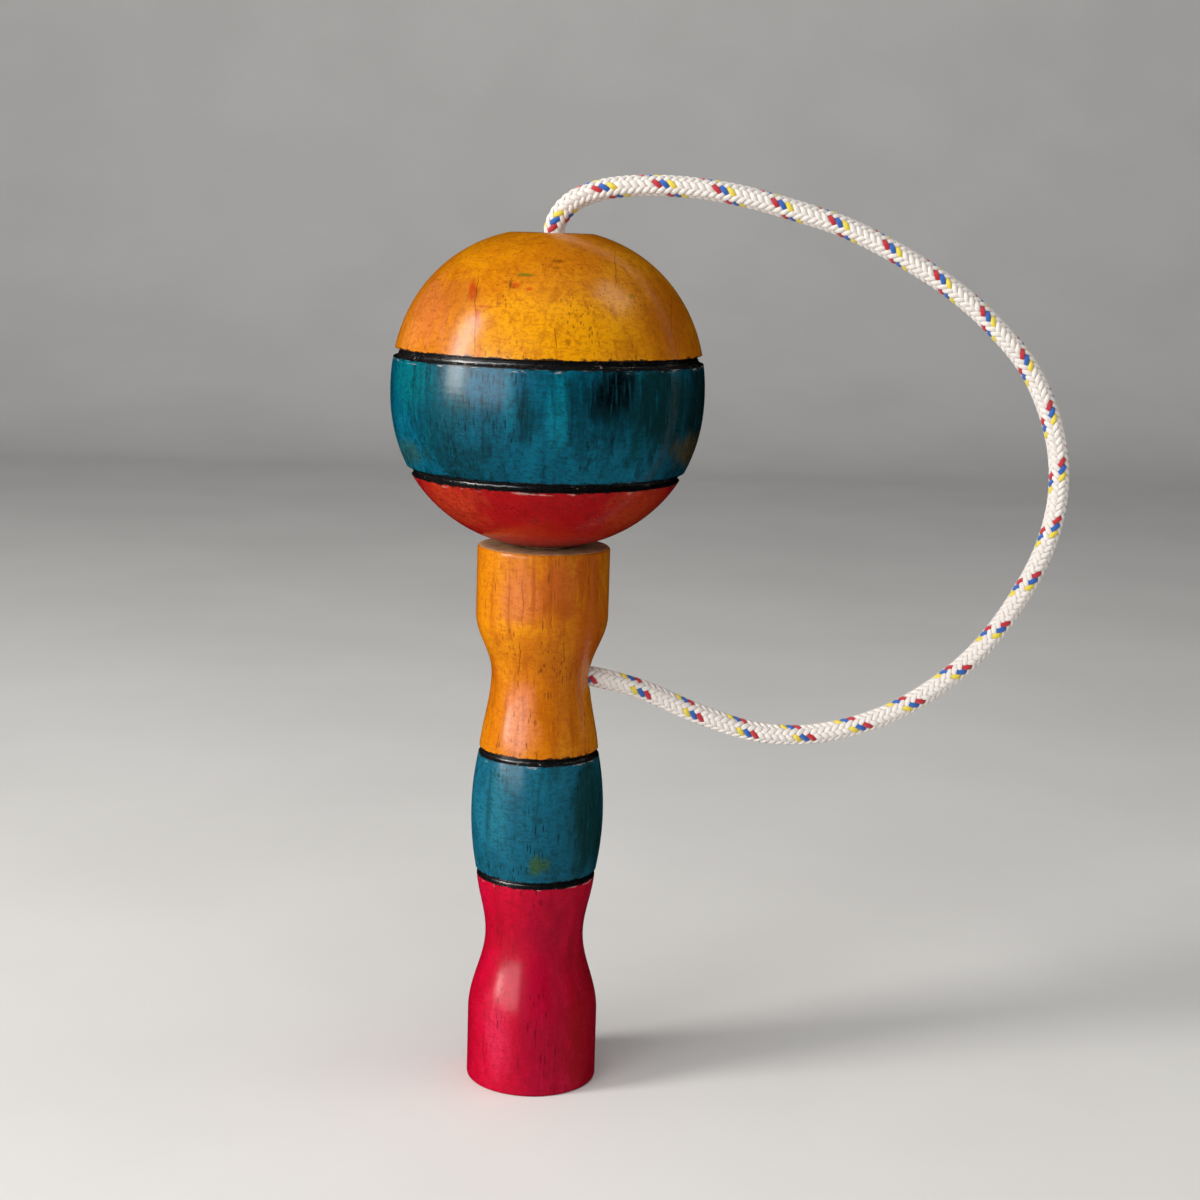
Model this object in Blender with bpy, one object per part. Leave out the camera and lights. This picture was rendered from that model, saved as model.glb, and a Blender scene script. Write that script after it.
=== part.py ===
"""Ball-and-stick catch toy: a turned ball that sits over a peg on a turned handle, tethered by a cord.

Metres, +Z up. The origin is the centre of the handle's foot, and +X points to the side that the cord leaves from.
"""

from math import cos, pi, radians, sin

import bmesh
import bpy
import numpy as np
from mathutils import Matrix, Vector

MM = 0.001
GAP = 0.3 * MM                        # left between pieces that touch
SIDES = 48                            # facets round a turned piece

# Handle: one spindle turned from round stock, with a foot, two waists, a barrel and a shoulder
HANDLE_HEIGHT = 126.0 * MM
FOOT_RADIUS = 15.1 * MM
FOOT_TOP = 16.0 * MM
LOWER_WAIST = (34.8 * MM, 11.4 * MM)  # height, radius
LOWER_COLLAR = (51.0 * MM, 13.75 * MM)
BARREL_BELLY = (64.0 * MM, 15.2 * MM)
BARREL_CURVE = 70.0 * MM              # radius of the belly's lengthways arc
UPPER_COLLAR = (76.0 * MM, 13.8 * MM)
UPPER_WAIST = (96.5 * MM, 11.2 * MM)
SHOULDER_RADIUS = 15.0 * MM
SHOULDER_FOOT = 110.3 * MM
RIM_ROUND = 0.6 * MM
HANDLE_GROOVES = (50.0 * MM, 78.7 * MM)
HANDLE_GROOVE_WIDTH = 1.6 * MM
HANDLE_GROOVE_DEPTH = 0.9 * MM

# Ball: fuller than a sphere, with a small flat at the pole where it was parted off the lathe
BALL_RADIUS = 35.0 * MM
BALL_UPPER = (35.9 * MM, 2.13)        # half height and exponent of the outline above the middle
BALL_LOWER = (34.8 * MM, 2.1)         # and below it
BALL_FLAT = 34.9 * MM                 # height of the pole's flat above the middle
BALL_GROOVES = (8.2 * MM, -17.9 * MM)  # heights from the middle
BALL_GROOVE_WIDTH = 2.0 * MM
BALL_GROOVE_DEPTH = 1.2 * MM

# Peg, its hole in the ball, and its bore in the handle
PEG_RADIUS = 5.3 * MM
PEG_STANDS = 14.0 * MM                # height of the peg above the handle
CATCH_RADIUS = 6.5 * MM
CATCH_DEPTH = 34.0 * MM
BORE_RADIUS = PEG_RADIUS + GAP
BORE_BOTTOM = 88.0 * MM
MOUTH_BEVEL = 0.8 * MM
PEG_TAPER = 0.2 * MM                  # taken off the radius between the handle and the peg's nose
PEG_NOSE = 4.0 * MM                   # length of the rounded nose
PEG_BEVEL = 0.5 * MM

# Cord and its two stopper knots
CORD_DIAMETER = 4.8 * MM
CORD_HOLE_RADIUS = 2.9 * MM
CORD_EXIT_HEIGHT = 96.0 * MM
KNOT_RADIUS = 4.9 * MM
KNOT_FLATTENING = 0.9
CORD_STEP = 5.6 * MM                  # spacing of the points along the cord

# Where the outline of the ball meets its catch hole, the ball rests on the handle
BALL_SEAT = BALL_LOWER[0] * (1 - (CATCH_RADIUS / BALL_RADIUS) ** BALL_LOWER[1]) ** (1 / BALL_LOWER[1])
BALL_CENTRE = HANDLE_HEIGHT + GAP + BALL_SEAT
CATCH_ROOF = BALL_CENTRE - BALL_SEAT + CATCH_DEPTH
BALL_KNOT_TOP = CATCH_ROOF - GAP
HANDLE_KNOT_CENTRE = CORD_EXIT_HEIGHT

# The cord's route in millimetres, x and z, from the ball's knot out of the pole and round to the handle
CORD_ROUTE = (
    (0, 160.3), (0, 172), (0, 184), (0, 193), (1.5, 199.2), (6, 203.4), (14, 205.8), (26, 206.4),
    (39, 205.2), (52, 202.3), (65, 198.5), (77, 193), (89, 186), (99, 178), (108, 168), (114, 155),
    (116, 142), (114, 129), (108.5, 116.5), (100.5, 104.5), (90.5, 95.2), (78.5, 88), (64, 83.8),
    (50, 83.8), (36, 87.9), (23.5, 93), (13, 95.7), (8.6, 96), (5.3, 96),
)


def clear_scene():
    for obj in list(bpy.data.objects):
        bpy.data.objects.remove(obj, do_unlink=True)


def material(name, colour, roughness):
    made = bpy.data.materials.new(name)
    made.use_nodes = True
    shader = made.node_tree.nodes["Principled BSDF"]
    shader.inputs["Base Color"].default_value = (*colour, 1.0)
    shader.inputs["Roughness"].default_value = roughness
    shader.inputs["Metallic"].default_value = 0.0
    return made


def add_object(name, mesh, made_of=None, parent=None, location=(0, 0, 0)):
    obj = bpy.data.objects.new(name, mesh)
    bpy.context.collection.objects.link(obj)
    obj.location = location
    obj.parent = parent
    if made_of:
        mesh.materials.append(made_of)
    return obj


def turned_mesh(name, outline, through):
    """Spin an outline of (radius, height) points, anticlockwise seen with +Z up, round the Z axis."""
    shape = bmesh.new()
    points = [shape.verts.new((radius, 0, height)) for radius, height in outline]
    edges = [shape.edges.new(pair) for pair in zip(points, points[1:])]
    if through:
        edges.append(shape.edges.new((points[-1], points[0])))
    bmesh.ops.spin(
        shape, geom=points + edges, cent=(0, 0, 0), axis=(0, 0, 1), dvec=(0, 0, 0),
        angle=2 * pi, steps=SIDES, use_merge=True, use_duplicate=False,
    )
    bmesh.ops.remove_doubles(shape, verts=shape.verts[:], dist=1e-6)
    bmesh.ops.recalc_face_normals(shape, faces=shape.faces[:])
    mesh = bpy.data.meshes.new(name)
    shape.to_mesh(mesh)
    shape.free()
    mesh.shade_smooth()
    mesh.set_sharp_from_angle(angle=radians(35))
    return mesh


def handle_radius(height):
    """Outer radius of the plain spindle at a height, before its grooves are cut."""
    def ease(low, high):
        share = min(max((height - low[0]) / (high[0] - low[0]), 0), 1)
        return low[1] + (high[1] - low[1]) * (1 - cos(pi * share)) / 2

    if height < LOWER_WAIST[0]:
        return ease((FOOT_TOP, FOOT_RADIUS), LOWER_WAIST)
    if height < HANDLE_GROOVES[0]:
        return ease(LOWER_WAIST, LOWER_COLLAR)
    if height < HANDLE_GROOVES[1]:
        return BARREL_BELLY[1] - (height - BARREL_BELLY[0]) ** 2 / (2 * BARREL_CURVE)
    if height < UPPER_WAIST[0]:
        return ease(UPPER_COLLAR, UPPER_WAIST)
    return ease(UPPER_WAIST, (SHOULDER_FOOT, SHOULDER_RADIUS))


def ball_radius(height):
    """Outer radius of the plain ball at a height from its middle."""
    half, power = BALL_UPPER if height > 0 else BALL_LOWER
    return BALL_RADIUS * max(1 - (abs(height) / half) ** power, 0) ** (1 / power)


def grooved(radius_at, heights, grooves, width, depth):
    """Outline points up a turned piece, with a round-bottomed groove at each given height."""
    def at_groove(height):
        return any(abs(height - groove) < 0.75 * width for groove in grooves)

    points = [(radius_at(height), height) for height in heights if not at_groove(height)]
    for groove in grooves:
        for across, down in ((-0.5, 0), (-0.28, 0.8), (0, 1), (0.28, 0.8), (0.5, 0)):
            height = groove + across * width
            edge = groove + (0.501 if across > 0 else -0.501) * width
            points.append((radius_at(edge) - down * depth, height))
    return sorted(points, key=lambda point: point[1])


def handle_outline():
    heights = [FOOT_TOP * share for share in (0.1, 0.5, 1)]
    heights += list(np.arange(FOOT_TOP + 3 * MM, SHOULDER_FOOT + 2 * MM, 3.1 * MM))
    heights += [SHOULDER_FOOT + 2 * MM, HANDLE_HEIGHT - RIM_ROUND]
    side = grooved(handle_radius, heights, HANDLE_GROOVES, HANDLE_GROOVE_WIDTH, HANDLE_GROOVE_DEPTH)
    foot = [(0, 0), (FOOT_RADIUS - RIM_ROUND, 0), (FOOT_RADIUS - 0.25 * RIM_ROUND, 0.4 * RIM_ROUND)]
    rim = [(SHOULDER_RADIUS - 0.25 * RIM_ROUND, HANDLE_HEIGHT - 0.4 * RIM_ROUND),
           (SHOULDER_RADIUS - RIM_ROUND, HANDLE_HEIGHT)]
    bore = [(BORE_RADIUS, HANDLE_HEIGHT), (BORE_RADIUS, BORE_BOTTOM), (0, BORE_BOTTOM)]
    return foot + side + rim + bore


def build_handle(made_of):
    handle = add_object("handle", turned_mesh("handle", handle_outline(), through=False), made_of)
    cutter_mesh = bpy.data.meshes.new("cord_hole_cutter")
    shape = bmesh.new()
    length = 2 * SHOULDER_RADIUS
    turn_to_x = Matrix.Translation((length / 2, 0, 0)) @ Matrix.Rotation(pi / 2, 4, "Y")
    bmesh.ops.create_cone(
        shape, cap_ends=True, segments=24, radius1=CORD_HOLE_RADIUS, radius2=CORD_HOLE_RADIUS,
        depth=length, matrix=turn_to_x,
    )
    shape.to_mesh(cutter_mesh)
    shape.free()
    cutter = add_object("cord_hole_cutter", cutter_mesh, location=(0, 0, CORD_EXIT_HEIGHT))
    cutter.hide_render = True
    cutter.display_type = "WIRE"
    cut = handle.modifiers.new("cord_hole", "BOOLEAN")
    cut.operation = "DIFFERENCE"
    cut.solver = "EXACT"
    cut.object = cutter
    return handle


def ball_outline():
    """The outline about the ball's own middle, up its outside and down through its holes."""
    top_angle = np.arcsin(BALL_FLAT / BALL_UPPER[0])
    seat_angle = -np.arcsin(BALL_SEAT / BALL_LOWER[0])
    heights = [
        sin(angle) * (BALL_UPPER if angle > 0 else BALL_LOWER)[0]
        for angle in np.linspace(seat_angle, top_angle, 27)
    ]
    side = grooved(ball_radius, heights[1:-1], BALL_GROOVES, BALL_GROOVE_WIDTH, BALL_GROOVE_DEPTH)
    mouth = [(CATCH_RADIUS, -BALL_SEAT + MOUTH_BEVEL), (CATCH_RADIUS + 0.25 * MOUTH_BEVEL, -BALL_SEAT)]
    pole = [(ball_radius(BALL_FLAT), BALL_FLAT), (CORD_HOLE_RADIUS + 0.5 * MOUTH_BEVEL, BALL_FLAT),
            (CORD_HOLE_RADIUS, BALL_FLAT - 0.5 * MOUTH_BEVEL)]
    roof = CATCH_ROOF - BALL_CENTRE
    return mouth + side + pole + [(CORD_HOLE_RADIUS, roof), (CATCH_RADIUS, roof)]


def build_ball(made_of, axis):
    return add_object("ball", turned_mesh("ball", ball_outline(), through=True), made_of, axis)


def build_peg(made_of):
    low = HANDLE_KNOT_CENTRE + KNOT_RADIUS + GAP
    top = HANDLE_HEIGHT + PEG_STANDS
    outline = [(0, low), (PEG_RADIUS - PEG_BEVEL, low), (PEG_RADIUS, low + PEG_BEVEL),
               (PEG_RADIUS, HANDLE_HEIGHT)]
    for angle in np.linspace(0, pi / 2, 5, endpoint=False):
        radius = (PEG_RADIUS - PEG_TAPER) * cos(angle)
        outline.append((radius, top - PEG_NOSE * (1 - sin(angle))))
    outline.append((0, top))
    return add_object("catch_peg", turned_mesh("catch_peg", outline, through=False), made_of)


def build_knot(name, centre, made_of, parent=None):
    mesh = bpy.data.meshes.new(name)
    shape = bmesh.new()
    bmesh.ops.create_icosphere(shape, subdivisions=3, radius=KNOT_RADIUS)
    bmesh.ops.scale(shape, vec=(1, 1, KNOT_FLATTENING), verts=shape.verts[:])
    shape.to_mesh(mesh)
    shape.free()
    mesh.shade_smooth()
    return add_object(name, mesh, made_of, parent, centre)


def smooth_route(route, step):
    """Evenly spaced points on the Catmull-Rom curve through the route's points."""
    knots = [Vector((x, 0, z)) * MM for x, z in route]
    knots = [2 * knots[0] - knots[1], *knots, 2 * knots[-1] - knots[-2]]
    fine = []
    for before, start, end, after in zip(knots, knots[1:], knots[2:], knots[3:]):
        for share in np.linspace(0, 1, 20, endpoint=False):
            fine.append(0.5 * (
                2 * start + (end - before) * share
                + (2 * before - 5 * start + 4 * end - after) * share ** 2
                + (3 * start - before - 3 * end + after) * share ** 3
            ))
    fine = np.array([*fine, knots[-2]])
    run = np.concatenate(([0], np.cumsum(np.linalg.norm(np.diff(fine, axis=0), axis=1))))
    stops = np.linspace(0, run[-1], round(run[-1] / step) + 1)
    return [Vector([np.interp(stop, run, fine[:, axis]) for axis in range(3)]) for stop in stops]


def build_cord(made_of):
    curve = bpy.data.curves.new("cord", "CURVE")
    curve.dimensions = "3D"
    curve.bevel_depth = CORD_DIAMETER / 2
    curve.bevel_resolution = 2
    curve.use_fill_caps = True
    points = smooth_route(CORD_ROUTE, CORD_STEP)
    spline = curve.splines.new("POLY")
    spline.points.add(len(points) - 1)
    for place, point in zip(points, spline.points):
        point.co = (*place, 1)
    return add_object("cord", curve, made_of)


def main():
    clear_scene()
    lacquered = material("lacquered_wood", (0.62, 0.30, 0.04), 0.35)
    stained = material("stained_wood", (0.02, 0.16, 0.22), 0.35)
    bare = material("bare_wood", (0.62, 0.45, 0.27), 0.6)
    braid = material("braided_cord", (0.86, 0.84, 0.80), 0.75)

    ball_axis = bpy.data.objects.new("ball_axis", None)
    bpy.context.collection.objects.link(ball_axis)
    ball_axis.location = (0, 0, BALL_CENTRE)

    build_handle(lacquered)
    build_peg(bare)
    build_ball(stained, ball_axis)
    knot_drop = BALL_KNOT_TOP - KNOT_RADIUS * KNOT_FLATTENING - BALL_CENTRE
    build_knot("ball_knot", (0, 0, knot_drop), braid, ball_axis)
    build_knot("handle_knot", (0, 0, HANDLE_KNOT_CENTRE), braid)
    build_cord(braid)
    bpy.context.view_layer.update()


main()
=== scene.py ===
"""Looks of the ball-and-stick catch toy: lacquered turned wood in stained bands, and a braided cord."""

from math import cos, pi, radians, sin

import bpy
import numpy as np
from mathutils import Matrix, Vector, noise


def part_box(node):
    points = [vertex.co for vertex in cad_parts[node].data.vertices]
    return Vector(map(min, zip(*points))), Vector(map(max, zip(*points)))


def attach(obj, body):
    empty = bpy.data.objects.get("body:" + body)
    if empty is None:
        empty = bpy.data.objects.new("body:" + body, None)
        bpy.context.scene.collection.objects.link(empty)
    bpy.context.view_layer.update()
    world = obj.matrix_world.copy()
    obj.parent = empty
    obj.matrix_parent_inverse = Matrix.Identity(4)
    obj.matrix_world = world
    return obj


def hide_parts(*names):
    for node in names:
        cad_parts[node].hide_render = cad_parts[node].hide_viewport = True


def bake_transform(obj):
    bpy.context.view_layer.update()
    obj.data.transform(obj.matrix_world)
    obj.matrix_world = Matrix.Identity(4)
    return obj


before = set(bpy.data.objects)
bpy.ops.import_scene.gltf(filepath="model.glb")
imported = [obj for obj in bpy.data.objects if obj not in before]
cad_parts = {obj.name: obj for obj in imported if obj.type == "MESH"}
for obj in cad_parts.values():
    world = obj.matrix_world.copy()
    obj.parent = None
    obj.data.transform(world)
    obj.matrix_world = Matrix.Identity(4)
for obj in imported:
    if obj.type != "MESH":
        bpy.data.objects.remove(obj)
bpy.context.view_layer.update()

MM = 0.001
NODES = {name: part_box(name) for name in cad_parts}


def node_height(name):
    return NODES[name][0][2], NODES[name][1][2]


HANDLE_TOP = node_height("handle")[1]
BALL_BOTTOM, BALL_TOP = node_height("ball")


# ---------------------------------------------------------------- camera

CAMERA_BACK = 467.2 * MM       # distance from the toy's axis
CAMERA_HEIGHT = 198.2 * MM
CAMERA_YAW = radians(1.6)
CAMERA_PITCH = radians(10.25)
CAMERA_ROLL = radians(1.75)
LENS = 62.7
SENSOR = 36                    # sensor's width and the lens's focal length are in millimetres


def add_camera():
    data = bpy.data.cameras.new("camera")
    data.lens = LENS
    data.sensor_width = SENSOR
    data.clip_start = 0.01
    camera = bpy.data.objects.new("camera", data)
    bpy.context.collection.objects.link(camera)
    ahead = Vector((
        sin(CAMERA_YAW) * cos(CAMERA_PITCH), cos(CAMERA_YAW) * cos(CAMERA_PITCH), -sin(CAMERA_PITCH),
    ))
    level = Vector((cos(CAMERA_YAW), -sin(CAMERA_YAW), 0))
    upright = level.cross(ahead)
    right = cos(CAMERA_ROLL) * level + sin(CAMERA_ROLL) * upright
    up = cos(CAMERA_ROLL) * upright - sin(CAMERA_ROLL) * level
    turn = Matrix((right, up, -ahead)).transposed().to_4x4()
    camera.matrix_world = Matrix.Translation((0, -CAMERA_BACK, CAMERA_HEIGHT)) @ turn
    bpy.context.scene.camera = camera


add_camera()


# ---------------------------------------------------------------- node helpers

class Shading:
    """A material under construction: each method adds its nodes and returns their output socket."""

    def __init__(self, name):
        self.material = bpy.data.materials.new(name)
        self.material.use_nodes = True
        self.tree = self.material.node_tree
        self.shader = self.tree.nodes["Principled BSDF"]
        self.place = self.tree.nodes.new("ShaderNodeTexCoord").outputs["Object"]

    def put(self, socket, value):
        """Link a socket to another one's output, or set it to a plain value."""
        if isinstance(value, bpy.types.NodeSocket):
            self.tree.links.new(value, socket)
        elif isinstance(value, tuple) and len(value) == 3 and socket.type == "RGBA":
            socket.default_value = (*value, 1)
        else:
            socket.default_value = value

    def math(self, operation, first, second=0.0):
        node = self.tree.nodes.new("ShaderNodeMath")
        node.operation = operation
        self.put(node.inputs[0], first)
        self.put(node.inputs[1], second)
        return node.outputs[0]

    def vector_math(self, operation, first, second=(0, 0, 0)):
        node = self.tree.nodes.new("ShaderNodeVectorMath")
        node.operation = operation
        self.put(node.inputs[0], first)
        self.put(node.inputs[1], second)
        return node.outputs["Value" if operation == "LENGTH" else "Vector"]

    def split(self, vector):
        node = self.tree.nodes.new("ShaderNodeSeparateXYZ")
        self.put(node.inputs[0], vector)
        return node.outputs

    def join(self, x, y, z):
        node = self.tree.nodes.new("ShaderNodeCombineXYZ")
        for socket, value in zip(node.inputs, (x, y, z)):
            self.put(socket, value)
        return node.outputs[0]

    def scaled(self, waves, shift=(0, 0, 0)):
        """The place on the object, scaled to so many waves per metre along x, y and z."""
        node = self.tree.nodes.new("ShaderNodeMapping")
        self.put(node.inputs["Vector"], self.place)
        node.inputs["Scale"].default_value = waves
        node.inputs["Location"].default_value = shift
        return node.outputs[0]

    def noise_at(self, vector, detail=3.0, roughness=0.5, distortion=0.0):
        node = self.tree.nodes.new("ShaderNodeTexNoise")
        self.put(node.inputs["Vector"], vector)
        node.inputs["Scale"].default_value = 1.0
        node.inputs["Detail"].default_value = detail
        node.inputs["Roughness"].default_value = roughness
        node.inputs["Distortion"].default_value = distortion
        return node.outputs["Fac"]

    def noise(self, waves, detail=3.0, roughness=0.5, distortion=0.0, shift=(0, 0, 0)):
        return self.noise_at(self.scaled(waves, shift), detail, roughness, distortion)

    def cells(self, waves):
        node = self.tree.nodes.new("ShaderNodeTexVoronoi")
        self.put(node.inputs["Vector"], self.scaled(waves))
        node.inputs["Scale"].default_value = 1.0
        return node.outputs["Distance"]

    def step(self, value, low, high, out_low=0.0, out_high=1.0):
        """A smooth step between two values, which may run downwards."""
        node = self.tree.nodes.new("ShaderNodeMapRange")
        node.interpolation_type = "SMOOTHSTEP"
        self.put(node.inputs["Value"], value)
        self.put(node.inputs["From Min"], low)
        self.put(node.inputs["From Max"], high)
        self.put(node.inputs["To Min"], out_low)
        self.put(node.inputs["To Max"], out_high)
        return node.outputs["Result"]

    def mix(self, share, first, second):
        """A colour on the way from the first (share 0) to the second (share 1)."""
        node = self.tree.nodes.new("ShaderNodeMix")
        node.data_type = "RGBA"
        self.put(node.inputs["Factor"], share)
        self.put(node.inputs[6], first)
        self.put(node.inputs[7], second)
        return node.outputs[2]

    def bump(self, height, depth, after=None):
        """Relief of a depth in metres, on top of the relief that an earlier bump gave."""
        node = self.tree.nodes.new("ShaderNodeBump")
        node.inputs["Strength"].default_value = 1.0
        node.inputs["Distance"].default_value = depth
        self.put(node.inputs["Height"], height)
        if after is not None:
            self.put(node.inputs["Normal"], after)
        return node.outputs[0]

    def finish(self, colour, roughness, normal, coat=0.0, coat_roughness=0.1):
        self.put(self.shader.inputs["Base Color"], colour)
        self.put(self.shader.inputs["Roughness"], roughness)
        self.put(self.shader.inputs["Normal"], normal)
        self.shader.inputs["Coat Weight"].default_value = coat
        self.shader.inputs["Coat Roughness"].default_value = coat_roughness
        return self.material


# ---------------------------------------------------------------- wood

# Layers of the figure: waves per metre along x, y and z, then detail, roughness and distortion
FIGURE_LAYERS = {
    "streaks": ((420, 420, 26), 5, 0.6, 0.4),
    "fine": ((1500, 1500, 110), 3, 0.6, 0.0),
    "mottle": ((900, 900, 700), 4, 0.65, 0.0),
    "blotches": ((52, 52, 30), 4, 0.55, 0.6),
    "crackle": ((620, 620, 1500), 3, 0.6, 0.8),
}
PORE_WAVES = (1300, 1300, 170)
PORE_FIELD_WAVES = (160, 160, 70)
RING_WAVES = 2600

# Relief of the lacquer over each layer
STAIN_RELIEF = (("rings", 0.01 * MM), ("mottle", 0.08 * MM), ("crackle", 0.16 * MM), ("streaks", 0.05 * MM))
PORE_DEPTH = 0.06 * MM

PATCH_RAGGEDNESS = 0.9
CRACK_WANDER = 2.0 * MM
BLEED_SPREAD = 2.4 * MM
SCUFF_BELOW_LIP = 0.35         # millimetres

BLACK_STAIN = (0.006, 0.006, 0.007)
SCUFF_COLOUR = (0.62, 0.52, 0.46)
STAIN_SPECULAR = 0.04          # the lacquer's coat carries nearly all of the shine
STAIN_COAT = 0.62
STAIN_COAT_ROUGHNESS = 0.22
BLACK_COAT_ROUGHNESS = 0.2


def wood_figure(shade):
    """Layers of the grain, which runs along the turned axis, each from 0 to 1."""
    figure = {name: shade.noise(*layer) for name, layer in FIGURE_LAYERS.items()}
    pore_field = shade.step(shade.noise(PORE_FIELD_WAVES, detail=2), 0.42, 0.60)
    figure["pores"] = shade.math("MULTIPLY", shade.step(shade.cells(PORE_WAVES), 0.30, 0.12), pore_field)
    x, y, z = shade.split(shade.place)
    reach = shade.math("ADD", shade.math("MULTIPLY", x, x), shade.math("MULTIPLY", y, y))
    reach = shade.math("MULTIPLY", shade.math("SQRT", reach), RING_WAVES)
    round_place = shade.join(reach, 0.0, shade.math("MULTIPLY", z, RING_WAVES))
    figure["rings"] = shade.noise_at(round_place, detail=3, roughness=0.7)
    return figure


def patch_mask(shade, centre, size):
    """A soft-edged spot of colour round a point, 1 in the middle, with an edge that follows the grain; used
    both for stains and for painted shade and highlights.
    """
    offset = shade.vector_math("SUBTRACT", shade.place, [value * MM for value in centre])
    offset = shade.vector_math("DIVIDE", offset, [value * MM for value in size])
    reach = shade.vector_math("LENGTH", offset)
    edge = shade.noise((330, 330, 110), detail=4, roughness=0.6)
    ragged = shade.math("MULTIPLY", shade.math("SUBTRACT", edge, 0.5), PATCH_RAGGEDNESS * 2)
    return shade.step(shade.math("ADD", reach, ragged), 1.3, 0.4)


def crack_mask(shade, across, low, high, width):
    """A hairline split along the grain on the front, between two heights, all in millimetres."""
    x, y, z = shade.split(shade.place)
    wander = shade.noise((0, 0, 240), detail=3, shift=(across, 0, 0))
    wander = shade.math("MULTIPLY", shade.math("SUBTRACT", wander, 0.5), CRACK_WANDER)
    aside = shade.math("ABSOLUTE", shade.math("SUBTRACT", shade.math("ADD", x, wander), across * MM))
    line = shade.step(aside, width * MM, width * 0.25 * MM)
    middle, half = (low + high) / 2, (high - low) / 2
    along = shade.math("ABSOLUTE", shade.math("SUBTRACT", z, middle * MM))
    ends = shade.step(along, half * MM, half * 0.6 * MM)
    return shade.math("MULTIPLY", shade.math("MULTIPLY", line, ends), shade.step(y, 0.0, -2 * MM))


def groove_wear(shade, height, half_width):
    """The black line's ragged bleed over the groove's lips, and the pale scuffs on its lower lip.

    The groove's height and half its width are in millimetres.
    """
    _x, _y, z = shade.split(shade.place)
    ragged = shade.noise((520, 520, 900), detail=4, roughness=0.7)
    scuffs = shade.noise((260, 260, 1500), detail=3, roughness=0.6, shift=(height, 0, 0))
    below = shade.math("SUBTRACT", height * MM, z)
    away = shade.math("SUBTRACT", shade.math("ABSOLUTE", below), half_width * MM)
    spread = shade.math("MULTIPLY", shade.math("SUBTRACT", ragged, 0.47), BLEED_SPREAD)
    bleed = shade.step(shade.math("SUBTRACT", away, spread), 0.12 * MM, -0.05 * MM)
    lip = shade.math("ABSOLUTE", shade.math("SUBTRACT", below, (half_width + SCUFF_BELOW_LIP) * MM))
    scuffed = shade.math("MULTIPLY", shade.step(lip, 0.5 * MM, 0.15 * MM), shade.step(scuffs, 0.57, 0.64))
    return bleed, scuffed


def stained_wood(
    name, base, bright, dark, pore, grooves, patches=(), cracks=(), streak_share=0.5, blotch_share=0.8,
):
    """Wood under a coat of stained lacquer: the colour moves between three tones with the figure. Some
    patches are painted shade and painted highlights, not stain.

    Grooves are (height, half width), patches (centre, size, colour, share) and cracks
    (across, low, high, width), all in millimetres.
    """
    shade = Shading(name)
    figure = wood_figure(shade)
    colour = shade.mix(shade.step(figure["blotches"], 0.45, 0.70, 0, blotch_share), base, bright)
    colour = shade.mix(shade.step(figure["blotches"], 0.46, 0.28, 0, blotch_share), colour, dark)
    for centre, size, tone, share in patches:
        mask = shade.math("MULTIPLY", patch_mask(shade, centre, size), share)
        colour = shade.mix(mask, colour, tone)
    tints = (
        ("streaks", 0.50, 0.70, streak_share, dark), ("fine", 0.50, 0.75, 0.30, bright),
        ("mottle", 0.50, 0.68, 0.40, dark), ("crackle", 0.50, 0.40, 0.35, dark),
    )
    for layer, low, high, share, tone in tints:
        colour = shade.mix(shade.step(figure[layer], low, high, 0, share), colour, tone)
    colour = shade.mix(shade.math("MULTIPLY", figure["pores"], 0.75), colour, pore)
    colour = shade.mix(shade.step(figure["rings"], 0.55, 0.72, 0, 0.16), colour, dark)
    for across, low, high, width in cracks:
        mask = shade.math("MULTIPLY", crack_mask(shade, across, low, high, width), 0.85)
        colour = shade.mix(mask, colour, pore)
    for height, half_width in grooves:
        bleed, scuffed = groove_wear(shade, height, half_width)
        colour = shade.mix(shade.math("MULTIPLY", bleed, 0.9), colour, BLACK_STAIN)
        colour = shade.mix(shade.math("MULTIPLY", scuffed, 0.38), colour, SCUFF_COLOUR)
    normal = None
    for layer, depth in STAIN_RELIEF:
        normal = shade.bump(figure[layer], depth, normal)
    normal = shade.bump(shade.math("MULTIPLY", figure["pores"], -1.0), PORE_DEPTH, normal)
    roughness = shade.step(figure["mottle"], 0.3, 0.7, 0.26, 0.42)
    shade.shader.inputs["Specular IOR Level"].default_value = STAIN_SPECULAR
    return shade.finish(colour, roughness, normal, coat=STAIN_COAT, coat_roughness=STAIN_COAT_ROUGHNESS)


def black_lacquer(name):
    """The groove's black line, worn through to pale wood in ragged specks."""
    shade = Shading(name)
    specks = shade.noise((900, 900, 1400), detail=5, roughness=0.7)
    chips = shade.noise((300, 300, 500), detail=3, roughness=0.6)
    worn = shade.math("MULTIPLY", shade.step(specks, 0.6, 0.66), shade.step(chips, 0.52, 0.62))
    colour = shade.mix(worn, BLACK_STAIN, (0.42, 0.36, 0.30))
    roughness = shade.step(specks, 0.3, 0.7, 0.2, 0.5)
    normal = shade.bump(specks, 0.08 * MM)
    return shade.finish(colour, roughness, normal, coat=1.0, coat_roughness=BLACK_COAT_ROUGHNESS)


def bare_wood(name):
    shade = Shading(name)
    figure = wood_figure(shade)
    colour = shade.mix(shade.step(figure["streaks"], 0.35, 0.7), (0.56, 0.36, 0.19), (0.38, 0.21, 0.10))
    colour = shade.mix(shade.step(figure["fine"], 0.5, 0.8, 0, 0.4), colour, (0.66, 0.47, 0.28))
    colour = shade.mix(shade.math("MULTIPLY", figure["pores"], 0.6), colour, (0.16, 0.08, 0.04))
    normal = shade.bump(figure["rings"], 0.05 * MM)
    normal = shade.bump(figure["streaks"], 0.12 * MM, normal)
    return shade.finish(colour, shade.step(figure["fine"], 0.3, 0.7, 0.55, 0.75), normal)


# ---------------------------------------------------------------- turned pieces

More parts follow.
